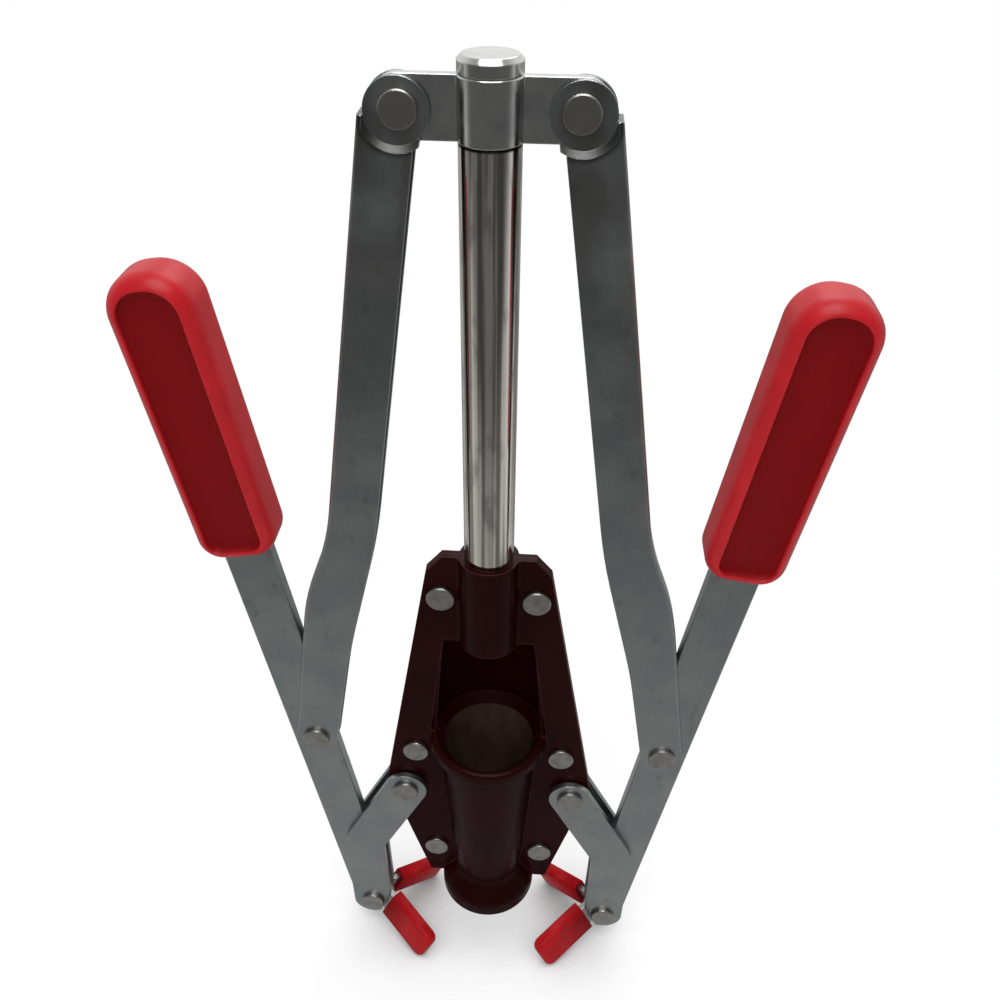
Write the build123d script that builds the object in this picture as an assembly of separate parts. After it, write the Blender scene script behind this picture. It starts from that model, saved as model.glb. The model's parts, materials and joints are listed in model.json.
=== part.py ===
from build123d import *
import math
import os

os.makedirs("parts", exist_ok=True)

# Twin lever corker in millimetres: X to the right, -Y to the front, Z up.
# The origin lies on the table, under the middle of the plunger rod.
# Everything on the right side is drawn once and mirrored to the left.

# Sheet and bar stock
body_sheet = 2.0            # painted metal of the two body halves
link_sheet = 2.4            # zinc plated steel of the four claw links
arm_sheet = 1.5             # zinc plated steel of the two channel arms
lever_thick = 5.4           # flat bar of the levers
side_gap = 0.1              # play between two flat parts that turn on each other

# Rivets and pivot pins, all from one size of wire
pin_r = 3.0
pin_fit = 0.05              # radial play of a pin in its hole
head_r = 5.25
head_tall = 1.6
head_edge = 0.35            # broken edge of a rivet head

# Pivot points on the right side, as (across, height)
hub_bottom = 368.06
arm_pivot = (23.9, hub_bottom + 8.7)
link_pivot = (34.7, 99.66)
fork_pivot = (54.2, 15.46)
lever_pivot = (70.1, 129.06)

# Plunger
rod_r = 8.7
rod_chamfer = 1.0
guide_fit = 0.1             # radial play of the rod in its guide
hub_proud = 0.2             # how far the hub stands out from the rod
hub_tall = 17.5
hub_edge = 0.5
spigot_r = 5.5              # turned end of the rod inside the hub and the cap
spigot_fit = 0.05
cap_proud = 0.1             # and the cap
cap_tall = 4.6
cap_chamfer = 1.3
cap_wall = 2.0              # metal left above the spigot
ear_tall = 16.8
ear_thick = 3.0

# Body plates
plate_outline = [(16.7, 226.06), (22.5, 219.16), (43.0, 102.06), (26.1, 39.76)]
guide_to_rivet = 6.7        # from the guide's wall to the upper rivets
upper_rivet_high = 207.16
lower_rivets = [(29.8, 122.46), (22.9, 58.16)]
guide_bottom = 186.06
guide_wall = 1.9
guide_blend = 2.0           # hollow fillet between the guide and the plates
rod_bottom = guide_bottom + 2.0
window_half_top = 17.0
window_half_rim = 23.5
window_corner = 1.5

# Half sections of the body's hollow shape, from the bottle end up
bell_bottom = 33.36
bell_r = 18.5               # takes the mouth of a bottle
bell_seat = 41.86
bell_shoulder = 41.36
neck_r = 14.4
neck_high = 48.36
throat_fit = 0.5            # radial play of the rod where the cork leaves the cone
throat_low = 48.86
throat_high = 55.86
cone_r = 17.9               # the cork enters the cone here
cone_top = 131.06
cone_wall = 2.2             # at the top of the cone
rim_r = 21.5
rim_top = 134.76
lip_r = 23.6
lip_tall = 5.4              # rolled lip of the cone below its rim
lip_edge = 1.8
lip_blend = 2.4
chamber_r = 17.2            # hollow behind the window, at its top
chamber_top = 185.86
shoulder_rise = 0.9         # slope of the chamber's closed top
low_inside_bends = [4, 3, 8, 0.8]               # radii of the inside, corner by corner
low_outside_bends = [1.8, 6, 5, 2, 1.6]         # and of the outside
chamber_inside_bends = [0, 5, 2]                # and onwards behind the window
chamber_outside_bends = [0, 6, 3]
cut_reach = 60.0            # size of the blocks that trim the larger shapes

# Channel arms
arm_outline = [
    (34.8, hub_bottom + 7.2), (56.3, 232.16), (66.6, 205.96), (78.3, 130.36),
    (61.8, 127.66), (53.5, 174.86), (39.5, 230.76), (19.3, hub_bottom + 5.3),
]
arm_bends = [0, 110, 110, 0, 0, 250, 250, 0]
arm_end_r = 8.4
arm_edge = 1.35             # bend radius along the outer side
pad_centre = (24.4, hub_bottom + 8.1)
pad_r = 8.9                 # round top of each flange, pressed in against the ear
pad_slope = 1.7
web_low = 196.36

# Levers and grips, measured along the lever from its lower pivot
lever_half = 8.7
lever_long = 308.0
lever_lean = 8.6            # degrees
lever_edge = 0.6
grip_over = 10.0            # grip beyond the end of the bar
grip_long = 105.5
grip_wide = 28.0
grip_deep = 22.0
grip_top_corner = 13.0
grip_low_corner = 9.0
grip_edge = 7.0
grip_fit = 0.05
panel_wide = 20.6
panel_margin = 4.0          # grip left above and below the sunk panel
panel_top_corner = 9.5
panel_low_corner = 4.5
panel_deep = 1.9

# Claw links, and the fingers that are bent off their lower ends
link_half = 8.75
link_elbow = (55.2, 60.36)
link_bend = 14.0
finger_dip = 24.0           # degrees below level, before the finger is bent out
finger_bend = 38.0          # degrees out of the plate
finger_root = 6.1           # from the fork pivot to the bend
finger_rise = 3.2           # middle of the finger above the fork pivot, along the bend
finger_long = 27.0
finger_half = 5.6
finger_corner = 3.0
finger_bed = 3.0            # length of the finger inside the plate that it is bent from
sleeve_half = 7.8
sleeve_thick = 5.6
sleeve_from = 2.4
sleeve_end = 2.6            # soft material beyond the end of the finger
sleeve_corner = 4.0
sleeve_edge = 1.6
sleeve_fit = 0.05

# Sizes that follow from those above
hub_r = rod_r + hub_proud
cap_r = rod_r + cap_proud
throat_r = rod_r + throat_fit
guide_r = rod_r + guide_fit
guide_out = guide_r + guide_wall
plate_rivets = [(guide_out + guide_to_rivet, upper_rivet_high)] + lower_rivets
hub_top = hub_bottom + hub_tall
grip_to = lever_long + grip_over
grip_from = grip_to - grip_long
lever_half_y = lever_thick / 2
ear_half_y = ear_thick / 2
pad_in = ear_half_y + side_gap
pad_out = pad_in + arm_sheet
flange_in = lever_half_y + side_gap
flange_out = flange_in + arm_sheet
link_in = max(body_sheet, lever_half_y) + side_gap
link_out = link_in + link_sheet
hole_r = pin_r + pin_fit


def plate(outline, front, back):
    """A flat sketch, drawn as seen from the front, made solid from one depth to another."""
    plane = Plane(origin=(0, back, 0), x_dir=(1, 0, 0), z_dir=(0, -1, 0))
    return extrude(plane * outline, amount=back - front)


def both_faces(outline, near, far):
    """The same plate on the front and on the back of the middle plane."""
    return plate(outline, -far, -near) + plate(outline, near, far)


def disc(point, radius):
    return Pos(*point) * Circle(radius)


def strip(start, end, half_width):
    """A bar outline with round ends about two points."""
    run = (end[0] - start[0], end[1] - start[1])
    middle = ((start[0] + end[0]) / 2, (start[1] + end[1]) / 2)
    turn = math.degrees(math.atan2(run[1], run[0]))
    return Pos(*middle) * Rot(0, 0, turn) * SlotCenterToCenter(math.hypot(*run), 2 * half_width)


def rims_at(solid, depth):
    """The edges that lie flat in the front and back faces at this depth."""
    return solid.edges().filter_by(lambda edge: abs(abs(edge.center().Y) - depth) < 0.01)


def rivet(point, seat):
    """A flat-headed rivet through everything between two faces at this depth."""
    shank = plate(disc(point, pin_r), -seat, seat)
    front_head = chamfer_rim(plate(disc(point, head_r), -seat - head_tall, -seat), -1)
    back_head = chamfer_rim(plate(disc(point, head_r), seat, seat + head_tall), 1)
    return shank + front_head + back_head


def chamfer_rim(head, side):
    """Break the outer edge of a rivet head, on the front (-1) or on the back (1)."""
    outer_edge = (head.edges().sort_by(Axis.Y))[0 if side < 0 else -1]
    return chamfer(outer_edge, head_edge)


def half_stub(point, near, seat):
    """A short rivet in each flange that stops at the inner face of the flange."""
    front_head = chamfer_rim(plate(disc(point, head_r), -seat - head_tall, -seat), -1)
    back_head = chamfer_rim(plate(disc(point, head_r), seat, seat + head_tall), 1)
    front = front_head + plate(disc(point, pin_r), -seat, -near)
    back = back_head + plate(disc(point, pin_r), near, seat)
    return front, back


def turned(outline):
    """Turn a closed half section, given as (radius, height), about the rod axis."""
    return revolve(Plane.XZ * outline, Axis.Z, 360)


def half_section(points, radii):
    """A half section closed along the axis, with its corners rounded."""
    wall = FilletPolyline(*points, radius=radii)
    closing = Polyline(points[-1], (0, points[-1][1]), (0, points[0][1]), points[0])
    return make_face(wall + closing)


def mirrored(solid):
    return mirror(solid, about=Plane.YZ)


def save(name, *solids):
    shape = solids[0] if len(solids) == 1 else Compound(children=list(solids))
    export_step(shape, f"parts/{name}.step")


# Body: flat plates joined to a turned shape and hollowed, each half from its own half sections
def flat_plates(front, back):
    right_edge = plate_outline
    left_edge = [(-x, z) for x, z in reversed(plate_outline)]
    flat = plate(make_face(Polyline(*right_edge, *left_edge, right_edge[0])), front, back)
    for x, z in plate_rivets + [link_pivot]:
        flat -= plate(disc((x, z), hole_r), front, back) + plate(disc((-x, z), hole_r), front, back)
    return flat


def half_space(side):
    """A block that holds everything in front of the middle plane (-1) or behind it (1)."""
    plate_top = plate_outline[0][1]
    return Pos(0, side * cut_reach / 2, plate_top / 2) * Box(2 * cut_reach, cut_reach, 2 * plate_top)


def body_halves():
    plate_top = plate_outline[0][1]
    shoulder = chamber_top + (chamber_r - guide_r) * shoulder_rise
    bell_out = bell_r + body_sheet
    lip_bottom = rim_top - lip_tall
    cone_out = cone_r + cone_wall

    low_inside = [
        (bell_r, bell_bottom - 1), (bell_r, bell_seat), (throat_r, throat_low), (throat_r, throat_high),
        (cone_r, cone_top), (rim_r, rim_top),
    ]
    low_outside = [
        (bell_r, bell_bottom), (bell_out, bell_bottom), (bell_out, bell_shoulder), (neck_r, neck_high),
        (cone_out, lip_bottom - lip_blend), (lip_r, lip_bottom), (lip_r, rim_top),
    ]
    front_inside = low_inside + [(guide_r, rim_top), (guide_r, plate_top + 1)]
    front_outside = low_outside + [(guide_out, rim_top), (guide_out, plate_top)]
    rear_inside = low_inside + [(chamber_r, chamber_top), (guide_r, shoulder), (guide_r, plate_top + 1)]
    rear_outside = low_outside + [
        (chamber_r + body_sheet, chamber_top + 1), (guide_out, shoulder + 1), (guide_out, plate_top),
    ]

    front = turned(half_section(front_outside, low_outside_bends + [lip_edge, 0])) & half_space(-1)
    bulge_middle = Pos(0, -cut_reach / 2, (rim_top + guide_bottom) / 2)
    bulge = bulge_middle * Box(2 * cut_reach, cut_reach, guide_bottom - rim_top)
    front = front - bulge + flat_plates(-body_sheet, 0)
    front = fillet(guide_creases(front), guide_blend)
    front -= turned(half_section(front_inside, low_inside_bends + [0, 0]))
    front -= plate(window_outline(), -body_sheet, 0)

    rear = turned(half_section(rear_outside, low_outside_bends + chamber_outside_bends)) & half_space(1)
    rear += flat_plates(0, body_sheet)
    rear -= turned(half_section(rear_inside, low_inside_bends + chamber_inside_bends))
    return front, rear


def guide_creases(front):
    """The two upright corners where the guide meets the plates."""
    upright = front.edges().filter_by(Axis.Z)
    beside_guide = upright.filter_by(lambda edge: edge.center().Z > guide_bottom)
    return beside_guide.filter_by(lambda edge: abs(edge.center().Y + body_sheet) < 0.01)


def window_outline():
    corners = [
        (-window_half_top, guide_bottom), (window_half_top, guide_bottom),
        (window_half_rim, rim_top), (-window_half_rim, rim_top),
    ]
    return make_face(FilletPolyline(*corners, radius=window_corner, close=True))


# Plunger: rod with a turned spigot, cross head with two ears, cap
def plunger_rod():
    spigot_top = hub_top + cap_tall - cap_wall
    rod = Pos(0, 0, (rod_bottom + hub_bottom) / 2) * Cylinder(rod_r, hub_bottom - rod_bottom)
    rod = chamfer(rod.edges().sort_by(Axis.Z)[0], rod_chamfer)
    spigot = Pos(0, 0, (hub_bottom + spigot_top) / 2) * Cylinder(spigot_r, spigot_top - hub_bottom)
    return rod + spigot


def crosshead():
    hub = Pos(0, 0, (hub_bottom + hub_top) / 2) * Cylinder(hub_r, hub_tall)
    hub = chamfer(hub.edges().filter_by(GeomType.CIRCLE), hub_edge)
    ear_end = disc(arm_pivot, ear_tall / 2)
    ear_bar = Pos(0, arm_pivot[1]) * Rectangle(2 * arm_pivot[0], ear_tall)
    ears = plate(ear_bar + ear_end + mirror(ear_end, about=Plane.YZ), -ear_half_y, ear_half_y)
    head = hub + ears
    head -= Pos(0, 0, (hub_bottom + hub_top) / 2) * Cylinder(spigot_r + spigot_fit, hub_tall)
    for side in (-1, 1):
        head -= plate(disc((side * arm_pivot[0], arm_pivot[1]), hole_r), -ear_half_y, ear_half_y)
    return head


def top_cap():
    cap = Pos(0, 0, hub_top + cap_tall / 2) * Cylinder(cap_r, cap_tall)
    cap = chamfer(cap.edges().sort_by(Axis.Z)[-1], cap_chamfer)
    socket_tall = cap_tall - cap_wall + spigot_fit
    return cap - Pos(0, 0, hub_top + socket_tall / 2) * Cylinder(spigot_r + spigot_fit, socket_tall)


# Channel arm: two flanges joined by a web on the outer side, with round pads pressed in at the top
def on_outer_side(edge):
    """Whether an edge of the arm lies beyond the straight line from its upper to its lower pivot."""
    (top_x, top_z), (low_x, low_z) = arm_pivot, lever_pivot
    line_x = top_x + (low_x - top_x) * (top_z - edge.center().Z) / (top_z - low_z)
    return edge.center().X > line_x + arm_end_r / 2


def channel_arm():
    end_disc = disc(lever_pivot, arm_end_r)
    outline = make_face(FilletPolyline(*arm_outline, radius=arm_bends, close=True)) + end_disc
    lean = math.atan2(arm_outline[1][0] - arm_outline[0][0], arm_outline[0][1] - arm_outline[1][1])
    inner_part = Pos(-arm_sheet / math.cos(lean), 0) * outline
    below_web = Pos(lever_pivot[0], web_low / 2) * Rectangle(2 * lever_pivot[0], web_low)

    arm = plate(outline, -flange_out, flange_out)
    arm = fillet(rims_at(arm, flange_out).filter_by(on_outer_side), arm_edge)
    arm -= plate(inner_part + below_web, -flange_in, flange_in)
    skirt_r = pad_r + pad_slope
    arm -= plate(disc(pad_centre, skirt_r) & inner_part, -flange_out, flange_out)

    step = [(pad_r, pad_in), (pad_r, pad_out), (skirt_r, flange_out), (skirt_r, flange_in)]
    ring = revolve(Plane.XZ * make_face(Polyline(*step, step[0])), Axis.Z, 360)
    skirt = Pos(pad_centre[0], 0, pad_centre[1]) * Rot(-90, 0, 0) * ring
    skirt += mirror(skirt, about=Plane.XZ)
    arm += skirt & plate(inner_part, -flange_out, flange_out)
    arm += both_faces(disc(pad_centre, pad_r), pad_in, pad_out)
    arm -= plate(disc(arm_pivot, hole_r), -pad_out, pad_out)
    return arm - plate(disc(lever_pivot, hole_r), -flange_out, flange_out)


# Lever and grip are drawn upright on their lower pivot, then leaned over
def leaned(solid):
    return Pos(fork_pivot[0], 0, fork_pivot[1]) * Rot(0, lever_lean, 0) * solid


def lever_bar():
    bar = plate(strip((0, 0), (0, lever_long - lever_half), lever_half), -lever_half_y, lever_half_y)
    bar = leaned(fillet(rims_at(bar, lever_half_y), lever_edge))
    for point in (fork_pivot, lever_pivot):
        bar -= plate(disc(point, hole_r), -lever_half_y, lever_half_y)
    return bar


def grip():
    middle = (grip_from + grip_to) / 2
    block = Rectangle(grip_wide, grip_long)
    block = fillet(block.vertices().sort_by(Axis.Y)[:2], grip_low_corner)
    block = fillet(block.vertices().sort_by(Axis.Y)[-2:], grip_top_corner)
    body = plate(Pos(0, middle) * block, -grip_deep / 2, grip_deep / 2)
    body = fillet(rims_at(body, grip_deep / 2), grip_edge)
    panel = Rectangle(panel_wide, grip_long - 2 * panel_margin)
    panel = fillet(panel.vertices().sort_by(Axis.Y)[:2], panel_low_corner)
    panel = fillet(panel.vertices().sort_by(Axis.Y)[-2:], panel_top_corner)
    body -= both_faces(Pos(0, middle) * panel, grip_deep / 2 - panel_deep, grip_deep / 2)
    socket = strip((0, 0), (0, lever_long - lever_half), lever_half + grip_fit)
    body -= plate(socket, -lever_half_y - grip_fit, lever_half_y + grip_fit)
    return leaned(body)


# Claw link: a dog-leg plate with a finger bent off its lower end, and a soft sleeve on the finger
dip = math.radians(finger_dip)
toward_neck = (-math.cos(dip), -math.sin(dip))
along_fold = (-math.sin(dip), math.cos(dip))
fold_point = tuple(
    fork_pivot[i] + finger_root * toward_neck[i] + finger_rise * along_fold[i] for i in range(2))


def finger_plane():
    """Lies in the front right finger: local x along it, local y up its width."""
    bend = math.radians(finger_bend)
    along = Vector(toward_neck[0] * math.cos(bend), -math.sin(bend), toward_neck[1] * math.cos(bend))
    width = Vector(along_fold[0], 0, along_fold[1])
    root = (fold_point[0], -(link_in + link_out) / 2, fold_point[1])
    return Plane(origin=root, x_dir=along, z_dir=along.cross(width))


def claw_link():
    line = FilletPolyline(link_pivot, link_elbow, fork_pivot, radius=link_bend)
    outline = trace(line, 2 * link_half) + disc(link_pivot, link_half) + disc(fork_pivot, link_half)
    fold_line = Pos(*fold_point) * Rot(0, 0, 180 + finger_dip)
    beyond_fold = fold_line * Pos(cut_reach / 2, 0) * Rectangle(cut_reach, cut_reach)
    beyond_fold &= disc(fork_pivot, 2 * link_half)
    link = plate(outline - beyond_fold, -link_out, -link_in)
    tab = Pos((finger_long - finger_bed) / 2, 0) * Rectangle(finger_long + finger_bed, 2 * finger_half)
    tab = fillet(tab.vertices().sort_by(Axis.X)[-2:], finger_corner)
    finger = extrude(finger_plane() * tab, amount=link_sheet / 2, both=True)
    outside = Pos(fork_pivot[0], -link_in - cut_reach / 2, fork_pivot[1])
    link += finger & outside * Box(2 * cut_reach, cut_reach, 2 * cut_reach)
    for point in (link_pivot, fork_pivot):
        link -= plate(disc(point, hole_r), -link_out, -link_in)
    return link


def finger_sleeve():
    end = finger_long + sleeve_end
    skin = Pos((sleeve_from + end) / 2, 0) * Rectangle(end - sleeve_from, 2 * sleeve_half)
    skin = fillet(skin.vertices().sort_by(Axis.X)[-2:], sleeve_corner)
    sleeve = extrude(skin, amount=sleeve_thick / 2, both=True)
    broad_faces = (sleeve.faces().sort_by(Axis.Z)[0], sleeve.faces().sort_by(Axis.Z)[-1])
    rims = [edge for face in broad_faces for edge in face.edges() if edge.center().X > sleeve_from + sleeve_fit]
    sleeve = fillet(rims, sleeve_edge)
    inside = Pos((sleeve_from + finger_long) / 2, 0) * Rectangle(
        finger_long - sleeve_from + 2 * sleeve_fit, 2 * (finger_half + sleeve_fit))
    inside = fillet(inside.vertices().sort_by(Axis.X)[-2:], finger_corner)
    sleeve -= extrude(inside, amount=link_sheet / 2 + sleeve_fit, both=True)
    return finger_plane().location * sleeve


front_shell, rear_shell = body_halves()
save("front_shell", front_shell)
save("rear_shell", rear_shell)
save("shell_rivets", *[rivet((side * x, z), body_sheet) for x, z in plate_rivets for side in (-1, 1)])

save("plunger_rod", plunger_rod())
save("crosshead", crosshead())
save("top_cap", top_cap())

right_front_link = claw_link()
right_front_sleeve = finger_sleeve()
right_pieces = {
    "arm_pin": rivet(arm_pivot, pad_out + side_gap),
    "link_pin": rivet(link_pivot, link_out + side_gap),
    "fork_pin": rivet(fork_pivot, link_out),
    "channel_arm": channel_arm(),
    "lever_bar": lever_bar(),
    "grip": grip(),
    "front_claw_link": right_front_link,
    "rear_claw_link": mirror(right_front_link, about=Plane.XZ),
    "front_sleeve": right_front_sleeve,
    "rear_sleeve": mirror(right_front_sleeve, about=Plane.XZ),
}
for name, piece in right_pieces.items():
    save(f"right_{name}", piece)
    save(f"left_{name}", mirrored(piece))

lever_stubs = half_stub(lever_pivot, flange_in, flange_out)
save("right_lever_rivet", *lever_stubs)
save("left_lever_rivet", *[mirrored(stub) for stub in lever_stubs])
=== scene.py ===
import json
import math

import bmesh
import bpy
from mathutils import Matrix, Vector


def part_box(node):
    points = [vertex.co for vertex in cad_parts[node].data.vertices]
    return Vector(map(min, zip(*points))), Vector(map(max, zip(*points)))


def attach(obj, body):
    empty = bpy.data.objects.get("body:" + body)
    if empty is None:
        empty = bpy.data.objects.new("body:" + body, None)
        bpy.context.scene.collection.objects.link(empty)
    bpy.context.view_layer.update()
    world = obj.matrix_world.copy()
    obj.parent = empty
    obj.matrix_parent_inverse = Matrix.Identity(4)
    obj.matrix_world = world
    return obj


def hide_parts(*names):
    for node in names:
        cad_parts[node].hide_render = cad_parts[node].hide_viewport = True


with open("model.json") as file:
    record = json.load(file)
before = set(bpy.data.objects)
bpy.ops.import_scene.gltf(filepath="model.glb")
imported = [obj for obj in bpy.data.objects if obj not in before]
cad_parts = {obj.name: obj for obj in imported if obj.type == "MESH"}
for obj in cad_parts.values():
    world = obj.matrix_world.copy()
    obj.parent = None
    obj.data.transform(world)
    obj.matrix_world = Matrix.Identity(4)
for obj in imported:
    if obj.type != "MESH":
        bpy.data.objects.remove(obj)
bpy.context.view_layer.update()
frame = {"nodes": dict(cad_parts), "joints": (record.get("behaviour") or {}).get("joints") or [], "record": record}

SIDES = {"left": -1, "right": 1}
FACES = {"front": -1, "rear": 1}

# Places on the tool that finishes and pieces line up with, in metres
PIVOTS = {joint["name"]: Vector(joint["pos_m"]) for joint in frame["joints"] if joint["type"] == "hinge"}
HUB_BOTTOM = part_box("crosshead")[0].z
CONE_LOW = (0.0092, 0.05586)        # radius and height of the cone's inside at its narrow end
CONE_TOP = (0.0179, 0.13106)        # and at its wide end
PAD_CENTRE = (0.0244, 0.37616)      # across and up, where the arms are pressed in against the ears
PAD_R = 0.0089


# Shader maths as Python expressions
class Signal:
    """A node's output socket, with the operators that shader maths needs."""

    def __init__(self, nodes, socket):
        self.nodes = nodes
        self.socket = socket

    def math(self, operation, *values):
        return self.nodes.node("ShaderNodeMath", {"operation": operation}, dict(enumerate(values)))

    def __add__(self, other):
        return self.math("ADD", self, other)

    def __sub__(self, other):
        return self.math("SUBTRACT", self, other)

    def __mul__(self, other):
        return self.math("MULTIPLY", self, other)

    def __rsub__(self, other):
        return self.math("SUBTRACT", other, self)

    def __abs__(self):
        return self.math("ABSOLUTE", self)

    __radd__ = __add__
    __rmul__ = __mul__

    def root(self):
        return self.math("SQRT", self)

    def step(self, low, high):
        """0 below low, 1 above high, smooth between; low may be above high."""
        limits = {"Value": self, "From Min": low, "From Max": high}
        return self.nodes.node("ShaderNodeMapRange", {"interpolation_type": "SMOOTHSTEP"}, limits)


class Nodes:
    """A node tree and the few ways in which nodes are added to it."""

    def __init__(self, tree):
        self.tree = tree

    def node(self, kind, settings, sockets, output=0):
        made = self.tree.nodes.new(kind)
        for name, value in settings.items():
            setattr(made, name, value)
        for name, value in sockets.items():
            if isinstance(value, Signal):
                self.tree.links.new(value.socket, made.inputs[name])
            else:
                made.inputs[name].default_value = value
        return Signal(self, made.outputs[output])

    def axis(self, vector, name):
        return self.node("ShaderNodeSeparateXYZ", {}, {0: vector}, name)

    def mix(self, mask, one, two):
        """Colour one where the mask is 0 and colour two where it is 1."""
        colours = {6: one, 7: two}
        for socket, colour in colours.items():
            if not isinstance(colour, Signal):
                colours[socket] = (*colour, 1)
        return self.node("ShaderNodeMix", {"data_type": "RGBA"}, {0: mask, **colours}, 2)

    def ray(self, kind):
        return self.node("ShaderNodeLightPath", {}, {}, kind)


class Finish(Nodes):
    """A material under construction: one Principled shader and the nodes that feed it."""

    def __init__(self, name, **constants):
        self.material = bpy.data.materials.new(name)
        self.material.use_nodes = True
        super().__init__(self.material.node_tree)
        self.shader = self.tree.nodes["Principled BSDF"]
        for name, value in constants.items():
            socket = name.replace("_", " ").title().replace("Ior", "IOR")
            self.shader.inputs[socket].default_value = value
        self.place = self.node("ShaderNodeTexCoord", {}, {}, "Object")

    def feed(self, socket, signal):
        self.tree.links.new(signal.socket, self.shader.inputs[socket])

    def stretched(self, factors):
        """The place on the object, each axis times its factor."""
        return self.node("ShaderNodeVectorMath", {"operation": "MULTIPLY"}, {0: self.place, 1: factors})

    def noise(self, scale, detail, stretch=(1, 1, 1)):
        """Noise of about 0.5 with this many cells per metre."""
        sockets = {"Vector": self.stretched(stretch), "Scale": scale, "Detail": detail}
        return self.node("ShaderNodeTexNoise", {}, sockets, "Fac")

    def radius(self):
        """Distance from the rod's axis."""
        flat = self.stretched((1, 1, 0))
        return self.node("ShaderNodeVectorMath", {"operation": "LENGTH"}, {0: flat}, "Value")

    def rounded(self, radius):
        """The normal with every sharp edge rounded off by this radius, and a mask of those edges."""
        soft = self.node("ShaderNodeBevel", {"samples": 4}, {"Radius": radius})
        flat = self.node("ShaderNodeNewGeometry", {}, {}, "Normal")
        turn = self.node("ShaderNodeVectorMath", {"operation": "DOT_PRODUCT"}, {0: soft, 1: flat}, "Value")
        return soft, (1 - turn).step(0.01, 0.2)

    def bump(self, height, distance, normal):
        sockets = {"Strength": 1.0, "Distance": distance, "Height": height, "Normal": normal}
        self.feed("Normal", self.node("ShaderNodeBump", {}, sockets))


def cone_inside(paint):
    """A mask of the squeezing cone's inner wall."""
    height = paint.axis(paint.place, "Z")
    slope = (CONE_TOP[0] - CONE_LOW[0]) / (CONE_TOP[1] - CONE_LOW[1])
    wall = CONE_LOW[0] + (height - CONE_LOW[1]) * slope
    within = (paint.radius() - wall).step(0.0007, 0.0004)
    return within * height.step(0.05, 0.06) * height.step(CONE_TOP[1] + 0.0002, CONE_TOP[1] - 0.0006)


def enamel():
    """Thick maroon enamel, almost black, with a browner wear inside the cone and a painted highlight along its
    sharp edges.
    """
    dark, light = (0.0110, 0.0011, 0.0012), (0.0160, 0.0016, 0.0020)
    scuffed, bare = (0.056, 0.033, 0.025), (0.040, 0.023, 0.017)
    # painted highlight: sharp edges lightened to a pinkish red
    enamel_edge_highlight = (0.14, 0.035, 0.04)
    paint = Finish("maroon_enamel", specular_ior_level=0.03, coat_weight=0.06, coat_roughness=0.07)
    soft, edge = paint.rounded(0.0006)
    cloud = paint.noise(34, 3).step(0.35, 0.7)
    scuffs = paint.noise(160, 3, (1, 1, 0.4)).step(0.3, 0.7)
    inside = cone_inside(paint)
    colour = paint.mix(inside, paint.mix(cloud, dark, light), paint.mix(scuffs, scuffed, bare))
    paint.feed("Base Color", paint.mix(edge * 0.8, colour, enamel_edge_highlight))
    paint.feed("Roughness", 0.30 + cloud * 0.08 + inside * 0.25)
    peel = paint.noise(420, 2) + paint.noise(130, 1) * 0.8
    paint.bump(peel, 0.00006, soft)
    return paint.material


def pad_crease(plate):
    """A mask of the slope round the pads at the top of the arms, where shade is painted."""
    across = abs(plate.axis(plate.place, "X")) - PAD_CENTRE[0]
    up = plate.axis(plate.place, "Z") - PAD_CENTRE[1]
    from_pad = (across * across + up * up).root()
    return from_pad.step(PAD_R - 0.0003, PAD_R + 0.0003) * from_pad.step(PAD_R + 0.0035, PAD_R + 0.0016)


def zinc_sheet():
    """Satin zinc plate on sheet and bar: mottled, rubbed, darker in patches towards the top, with painted shade on
    the slope round the pads and painted highlights on sharp edges.
    """
    dull, fresh, bright_line = (0.30, 0.325, 0.325), (0.385, 0.405, 0.395), (0.46, 0.48, 0.48)
    spot, top_patch_dark, painted_shade = (0.20, 0.195, 0.19), (0.17, 0.158, 0.15), (0.05, 0.048, 0.045)
    painted_edge_highlight = (0.66, 0.74, 0.78)
    plate = Finish("zinc_sheet", metallic=1.0)
    soft, edge = plate.rounded(0.00045)
    blotch = plate.noise(55, 4).step(0.3, 0.72)
    grain = plate.noise(2600, 2)
    wave = plate.noise(100, 2)
    rubbed = plate.noise(500, 3, (6, 1, 0.12)).step(0.5, 0.8)
    stain = plate.noise(210, 3, (1, 1, 0.6)).step(0.6, 0.74)
    # darker patches, fading in towards the top of the arms
    top_patches = plate.noise(60, 4, (1, 1, 0.6)).step(0.3, 0.62) * plate.axis(plate.place, "Z").step(0.27, 0.38)
    colour = plate.mix(blotch, dull, fresh)
    colour = plate.mix(rubbed * 0.35, colour, bright_line)
    colour = plate.mix(stain * 0.4, colour, spot)
    colour = plate.mix(top_patches * 0.75, colour, top_patch_dark)
    # painted shade: the slope round each pad darkened to near black
    colour = plate.mix(pad_crease(plate) * 0.8, colour, painted_shade)
    # painted highlight: sharp edges lightened to a pale blue-white
    plate.feed("Base Color", plate.mix(edge * 0.85, colour, painted_edge_highlight))
    plate.feed("Roughness", 0.30 + blotch * 0.08 + grain * 0.08 - edge * 0.08)
    plate.bump(grain + rubbed + wave * 4, 0.00001, soft)
    return plate.material


def rivet_face():
    """Nickelled rivet heads with a fine grain, a few stains and a painted highlight on the edge."""
    clean, stained, painted_edge_highlight = (0.37, 0.36, 0.34), (0.28, 0.275, 0.255), (0.85, 0.85, 0.84)
    head = Finish("nickel_rivet", metallic=1.0)
    soft, edge = head.rounded(0.0003)
    stain = head.noise(300, 3).step(0.35, 0.75)
    grain = head.noise(2200, 2)
    # painted highlight: the edge of each head painted near white
    head.feed("Base Color", head.mix(edge, head.mix(stain, clean, stained), painted_edge_highlight))
    head.feed("Roughness", 0.32 + stain * 0.1 - edge * 0.15)
    head.bump(grain, 0.000012, soft)
    return head.material


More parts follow.
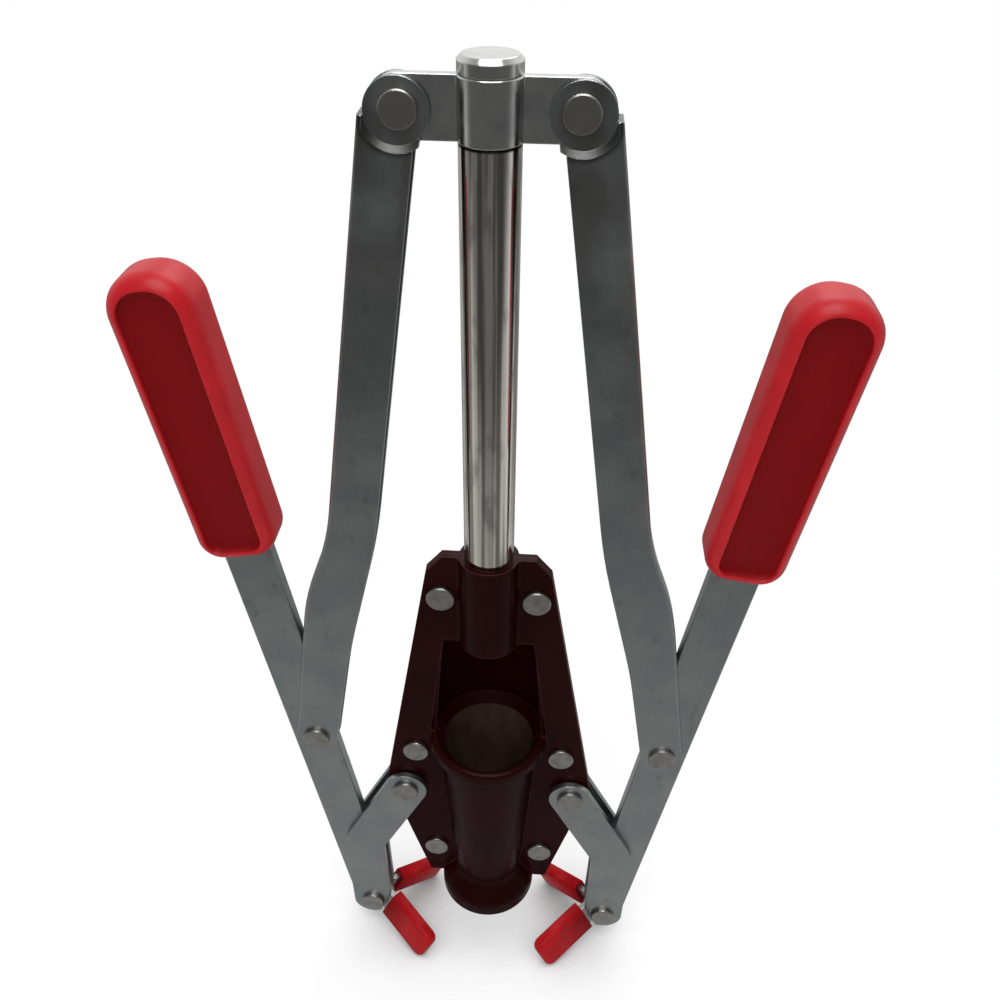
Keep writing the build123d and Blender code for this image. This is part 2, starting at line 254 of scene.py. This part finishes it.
def chrome():
    """Polished chrome with painted reflection in long dark streaks, stains and painted shade just under the cross
    head.
    """
    bright, painted_reflection_dark = (0.86, 0.815, 0.76), (0.25, 0.228, 0.205)
    stained, painted_shade_dark = (0.24, 0.22, 0.20), (0.02, 0.02, 0.02)
    rod = Finish("chrome_rod", metallic=1.0)
    soft, _ = rod.rounded(0.0003)
    rings = rod.noise(700, 2, (0.05, 0.05, 3))
    # painted reflection: long dark bands round the rod stand for the dark surroundings it mirrors
    reflection_streaks = rod.noise(480, 4, (1, 1, 0.01)).step(0.44, 0.58)
    stain = rod.noise(170, 4, (1, 1, 0.3)).step(0.5, 0.66)
    # painted shade: the rod darkened just under the cross head
    painted_shade = rod.axis(rod.place, "Z").step(HUB_BOTTOM - 0.00086, HUB_BOTTOM - 0.00016)
    colour = rod.mix(reflection_streaks * 0.9, bright, painted_reflection_dark)
    colour = rod.mix(stain * 0.5, colour, stained)
    rod.feed("Base Color", rod.mix(painted_shade, colour, painted_shade_dark))
    rod.feed("Roughness", 0.09 + rings * 0.05 + stain * 0.12)
    rod.bump(rings, 0.000006, soft)
    return rod.material


def machined():
    """Bright zinc on turned and milled steel, with a painted highlight on sharp edges."""
    fresh, dull, painted_edge_highlight = (0.58, 0.585, 0.565), (0.44, 0.45, 0.445), (0.86, 0.88, 0.89)
    block = Finish("machined_zinc", metallic=1.0)
    soft, edge = block.rounded(0.0005)
    marks = block.noise(900, 2, (0.3, 0.3, 4))
    blotch = block.noise(120, 3).step(0.35, 0.75)
    # painted highlight: sharp edges lightened to near white
    block.feed("Base Color", block.mix(edge, block.mix(blotch, fresh, dull), painted_edge_highlight))
    block.feed("Roughness", 0.14 + blotch * 0.08 + marks * 0.06)
    block.bump(marks, 0.00001, soft)
    return block.material


def red_grip():
    """Moulded red plastic with a sheen; the sunk panels are duller and painted darker, partly a darker tint of
    their own and partly painted shade in the recess.
    """
    deep, light, panel_red_and_shade = (0.37, 0.0065, 0.011), (0.42, 0.008, 0.014), (0.122, 0.0013, 0.0019)
    grip = Finish("red_grip", specular_ior_level=0.05, coat_roughness=0.34)
    soft, _ = grip.rounded(0.0009)
    panel = grip.node("ShaderNodeAttribute", {"attribute_name": "sunk"}, {}, "Fac")
    mottle = grip.noise(90, 2).step(0.3, 0.7)
    grain = grip.noise(1800, 2)
    # the sunk panels painted darker: partly their own tint, partly painted shade in the recess
    grip.feed("Base Color", grip.mix(panel, grip.mix(mottle, deep, light), panel_red_and_shade))
    grip.feed("Roughness", 0.42 + panel * 0.2 + mottle * 0.04)
    grip.feed("Coat Weight", (1 - panel) * 0.4)
    grip.bump(grain * (0.4 + panel), 0.00004, soft)
    return grip.material


def red_vinyl():
    """Soft red vinyl of the sleeves."""
    deep, light = (0.32, 0.006, 0.009), (0.39, 0.008, 0.012)
    skin = Finish("red_vinyl", specular_ior_level=0.08)
    soft, _ = skin.rounded(0.0004)
    mottle = skin.noise(160, 2).step(0.3, 0.7)
    skin.feed("Base Color", skin.mix(mottle, deep, light))
    skin.feed("Roughness", 0.34 + mottle * 0.1)
    skin.bump(skin.noise(1300, 2), 0.00004, soft)
    return skin.material


SLOT_FINISHES = {
    "maroon_paint": enamel(), "chrome_rod": chrome(), "zinc_bright": machined(), "zinc_plate": zinc_sheet(),
    "rivet_steel": rivet_face(), "red_grip": red_grip(), "red_vinyl": red_vinyl(),
}
for subpart in frame["record"]["subparts"]:
    node = frame["nodes"][subpart["node"]]
    for slot in node.material_slots:
        slot.material = SLOT_FINISHES[subpart["material_slot"]]


# What the sleeves and the grips share
TOUCHING = 1e-5                     # points this near to a plane lie on it


def bevel(shape, edges, offset, segments):
    bmesh.ops.bevel(
        shape, geom=edges, offset=offset, segments=segments, profile=0.5, affect="EDGES", material=-1)


def block(shape, low, high):
    """Start the shape as a block between two corners."""
    bmesh.ops.create_cube(shape, size=1)
    bmesh.ops.scale(shape, vec=high - low, verts=shape.verts)
    bmesh.ops.translate(shape, vec=(high + low) / 2, verts=shape.verts)


def add_piece(shape, name, body, node, slot):
    """Make a finished shape a smooth piece that stands for a CAD node and rides on its body."""
    bmesh.ops.recalc_face_normals(shape, faces=shape.faces)
    mesh = bpy.data.meshes.new(name)
    shape.to_mesh(mesh)
    shape.free()
    mesh.shade_smooth()
    mesh.materials.append(SLOT_FINISHES[slot])
    piece = bpy.data.objects.new(name, mesh)
    bpy.context.scene.collection.objects.link(piece)
    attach(piece, body)
    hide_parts(node)


# Soft sleeves, dipped on the flat fingers of the claws
FINGER_ROOT = Vector((0.047326, -0.004, 0.015901))      # of the right front claw
FINGER_DIP = math.radians(24)       # how far the finger points down
FINGER_BEND = math.radians(38)      # and how far it is bent forwards
SLEEVE_LOW = Vector((0.0024, -0.0078, -0.0030))         # along the finger, up its width, out of its face
SLEEVE_HIGH = Vector((0.0296, 0.0084, 0.0030))
TIP_CORNER = 0.004
SLEEVE_EDGE = 0.0019
MOUTH_LIP = 0.0009                  # wall of the sleeve at its open end
MOUTH_DEEP = 0.0012


def finger_frame(side, face):
    """Where a sleeve goes: X along the finger, Y up its width, Z out of its broad face."""
    along = Vector((-math.cos(FINGER_DIP) * math.cos(FINGER_BEND), -math.sin(FINGER_BEND),
                    -math.sin(FINGER_DIP) * math.cos(FINGER_BEND)))
    width = Vector((-math.sin(FINGER_DIP), 0, math.cos(FINGER_DIP)))
    axes = Matrix((along, width, along.cross(width))).transposed().to_4x4()
    return Matrix.Diagonal((side, -face, 1, 1)) @ Matrix.Translation(FINGER_ROOT) @ axes


def sleeve_shape():
    """A flat pouch with a rounded tip and a thin open lip round the finger."""
    shape = bmesh.new()
    block(shape, SLEEVE_LOW, SLEEVE_HIGH)
    middle = (SLEEVE_LOW.x + SLEEVE_HIGH.x) / 2
    mouth_end = SLEEVE_LOW.x + TOUCHING
    tip_corners = [e for e in shape.edges if all(v.co.x > middle for v in e.verts)
                   and abs(e.verts[0].co.y - e.verts[1].co.y) < TOUCHING]
    bevel(shape, tip_corners, TIP_CORNER, 6)
    rims = [e for e in shape.edges if abs(e.verts[0].co.z - e.verts[1].co.z) < TOUCHING
            and any(v.co.x > mouth_end for v in e.verts)]
    bevel(shape, rims, SLEEVE_EDGE, 5)
    mouth = [f for f in shape.faces if f.calc_center_median().x < mouth_end]
    bmesh.ops.inset_region(shape, faces=mouth, thickness=MOUTH_LIP, use_even_offset=True)
    bmesh.ops.translate(shape, vec=(MOUTH_DEEP, 0, 0), verts=list({v for f in mouth for v in f.verts}))
    return shape


def add_sleeves():
    for side_name, side in SIDES.items():
        for face_name, face in FACES.items():
            shape = sleeve_shape()
            bmesh.ops.transform(shape, matrix=finger_frame(side, face), verts=shape.verts)
            name = f"{side_name}_{face_name}_vinyl_sleeve"
            add_piece(shape, name, f"{side_name}_claw", f"{side_name}_{face_name}_sleeve", "red_vinyl")


# Moulded grips: an oblong body with round sides and a scooped panel in each broad face
LEVER_LEAN = math.radians(8.6)
GRIP_LOW = Vector((-0.014, -0.011, 0.2125))             # on an upright lever, from the lever's pivot
GRIP_HIGH = Vector((0.014, 0.011, 0.318))
GRIP_TOP_CORNER = 0.013
GRIP_LOW_CORNER = 0.009
GRIP_ROUND = 0.007
ROUND_STEPS = 16
PANEL_STEP = 5                      # rounding steps that the panel takes away
SCOOP = (                           # inwards, down and darkening, from the crest to the panel's floor; the darkening is partly the panel's own darker tint and partly painted shade in the recess
    (0.0002, 0.0, 0), (0.0002, -0.0001, 0.1), (0.0002, -0.0003, 0.35),
    (0.0002, -0.0005, 0.6), (0.0002, -0.0006, 0.75), (0.0003, -0.0005, 0.85),
    (0.0006, -0.0003, 0.9), (0.0010, -0.0001, 0.9), (0.0018, 0, 0.9),
)


def along_y(edge):
    return edge.verts[0].co.xz == edge.verts[1].co.xz


def grip_shape():
    """The grip on an upright lever; the vertex layer "sunk" tells the finish where the panels are."""
    shape = bmesh.new()
    sunk = shape.verts.layers.float.new("sunk")
    block(shape, GRIP_LOW, GRIP_HIGH)
    middle = (GRIP_LOW.z + GRIP_HIGH.z) / 2
    top = [e for e in shape.edges if along_y(e) and e.verts[0].co.z > middle]
    bevel(shape, top, GRIP_TOP_CORNER, 14)
    low = [e for e in shape.edges if along_y(e) and e.verts[0].co.z < middle
           and abs(e.verts[0].co.x) > GRIP_HIGH.x - TOUCHING]
    bevel(shape, low, GRIP_LOW_CORNER, 10)
    rims = [e for e in shape.edges if not along_y(e)]
    bevel(shape, rims, GRIP_ROUND, ROUND_STEPS)
    crest = GRIP_HIGH.y - GRIP_ROUND * (1 - math.cos(math.radians(90 * PANEL_STEP / ROUND_STEPS)))
    for face in FACES.values():
        inside = [f for f in shape.faces if all(v.co.y * face > crest - TOUCHING for v in f.verts)]
        panel = bmesh.ops.dissolve_faces(shape, faces=inside, use_verts=True)["region"]
        for inwards, down, tint_and_shade in SCOOP:
            bmesh.ops.inset_region(shape, faces=panel, thickness=inwards, depth=down, use_even_offset=True)
            for vert in panel[0].verts:
                vert[sunk] = tint_and_shade
    return shape


def add_grips():
    foot = PIVOTS["right_lever_swing"]
    lever = Matrix.Translation(foot) @ Matrix.Rotation(LEVER_LEAN, 4, "Y")
    for name, side in SIDES.items():
        shape = grip_shape()
        bmesh.ops.transform(shape, matrix=Matrix.Diagonal((side, 1, 1, 1)) @ lever, verts=shape.verts)
        add_piece(shape, f"{name}_moulded_grip", f"{name}_lever", f"{name}_grip", "red_grip")


add_sleeves()
add_grips()


# Floor, lamps and camera
LAMP_AIM = Vector((0, 0, 0.2))
LAMPS = (                           # name, place, size in metres, watts, and whether metal mirrors it
    ("ceiling_softbox", Vector((0.03, -0.5, 1.6)), 1.1, 18, True),
    ("back_softbox", Vector((0.2, 0.9, 1.3)), 0.8, 6, True),
    ("front_fill", Vector((-0.3, -1.5, 0.8)), 1.0, 8, False),
)
CAMERA_PLACE = Vector((0.0199, -0.2662, 0.4458))
CAMERA_YAW = math.radians(3.5)
CAMERA_PITCH = math.radians(36.21)
CAMERA_ROLL = math.radians(0.63)
CAMERA_LENS = 35.44                 # millimetres, on a sensor 36 mm wide


def mirrored_floor(paper):
    """How bright metal sees the floor: darker to the front and the back, lighter far out to the sides."""
    across = abs(paper.axis(paper.place, "X"))
    depth = paper.axis(paper.place, "Y")
    front = depth.step(0.0, -0.55)
    back = depth.step(0.05, 0.4)
    beside = across.step(0.12, 0.4) * (1 - front)
    return 0.46 - front * 0.33 - back * 0.22 + beside * 0.12


def studio_floor():
    """Pale paper that keeps the tool's shadow, darkened further near the tool by a painted shadow, and is white
    for the camera further out.
    """
    bpy.ops.mesh.primitive_grid_add(x_subdivisions=4, y_subdivisions=4, size=24)
    floor = bpy.context.object
    floor.name = "studio_floor"
    paper = Finish("pale_paper", base_color=(0.88, 0.88, 0.88, 1), roughness=0.9)
    camera_ray = paper.ray("Is Camera Ray")
    mirrored = paper.ray("Is Glossy Ray") + paper.ray("Is Transmission Ray")
    # painted shadow: the glow the camera sees is darkened by occlusion near the tool
    nearby = paper.node("ShaderNodeAmbientOcclusion", {"samples": 8}, {"Distance": 0.06}, "AO")
    glow_with_painted_shadow = 0.04 + nearby.step(0.15, 0.95) * 0.96
    strength = camera_ray * glow_with_painted_shadow + mirrored * mirrored_floor(paper)
    glow = paper.node("ShaderNodeEmission", {}, {"Color": (1, 1, 1, 1), "Strength": strength})
    away = paper.radius().step(0.12, 0.4)
    glowing = camera_ray * (0.75 + away * 0.25) + mirrored
    lit = Signal(paper, paper.shader.outputs[0])
    mixed = paper.node("ShaderNodeMixShader", {}, {0: glowing, 1: lit, 2: glow})
    paper.tree.links.new(mixed.socket, paper.tree.nodes["Material Output"].inputs["Surface"])
    floor.data.materials.append(paper.material)


def lamp(name, place, size, power, mirrored):
    light = bpy.data.lights.new(name, "AREA")
    light.size = size
    light.energy = power
    holder = bpy.data.objects.new(name, light)
    bpy.context.scene.collection.objects.link(holder)
    holder.location = place
    holder.rotation_euler = (LAMP_AIM - place).to_track_quat("-Z", "Y").to_euler()
    holder.visible_glossy = mirrored


def room():
    """Bright behind the tool, dark on the photographer's side, white where the camera sees past the floor."""
    world = bpy.data.worlds.new("room")
    world.use_nodes = True
    nodes = Nodes(world.node_tree)
    towards = nodes.node("ShaderNodeTexCoord", {}, {}, "Generated")
    shade = 0.18 + nodes.axis(towards, "Y").step(-0.4, 0.7) * 0.85
    strength = shade + nodes.ray("Is Camera Ray") * (1 - shade)
    background = world.node_tree.nodes["Background"]
    background.inputs["Color"].default_value = (1, 1, 1, 1)
    world.node_tree.links.new(strength.socket, background.inputs["Strength"])
    bpy.context.scene.world = world


def camera():
    """The photographer's view, fitted to the pivots of the tool."""
    ahead = Vector((-math.sin(CAMERA_YAW) * math.cos(CAMERA_PITCH),
                    math.cos(CAMERA_YAW) * math.cos(CAMERA_PITCH), -math.sin(CAMERA_PITCH)))
    right = Vector((math.cos(CAMERA_YAW), math.sin(CAMERA_YAW), 0))
    above = right.cross(ahead)
    turned_right = right * math.cos(CAMERA_ROLL) + above * math.sin(CAMERA_ROLL)
    turned_up = above * math.cos(CAMERA_ROLL) - right * math.sin(CAMERA_ROLL)
    lens = bpy.data.cameras.new("photo_camera")
    lens.sensor_width = 36
    lens.lens = CAMERA_LENS
    lens.clip_start = 0.01
    holder = bpy.data.objects.new("photo_camera", lens)
    bpy.context.scene.collection.objects.link(holder)
    axes = Matrix((turned_right, turned_up, -ahead)).transposed().to_4x4()
    holder.matrix_world = Matrix.Translation(CAMERA_PLACE) @ axes
    bpy.context.scene.camera = holder


studio_floor()
for settings in LAMPS:
    lamp(*settings)
room()
camera()
bpy.context.scene.view_settings.view_transform = "Standard"
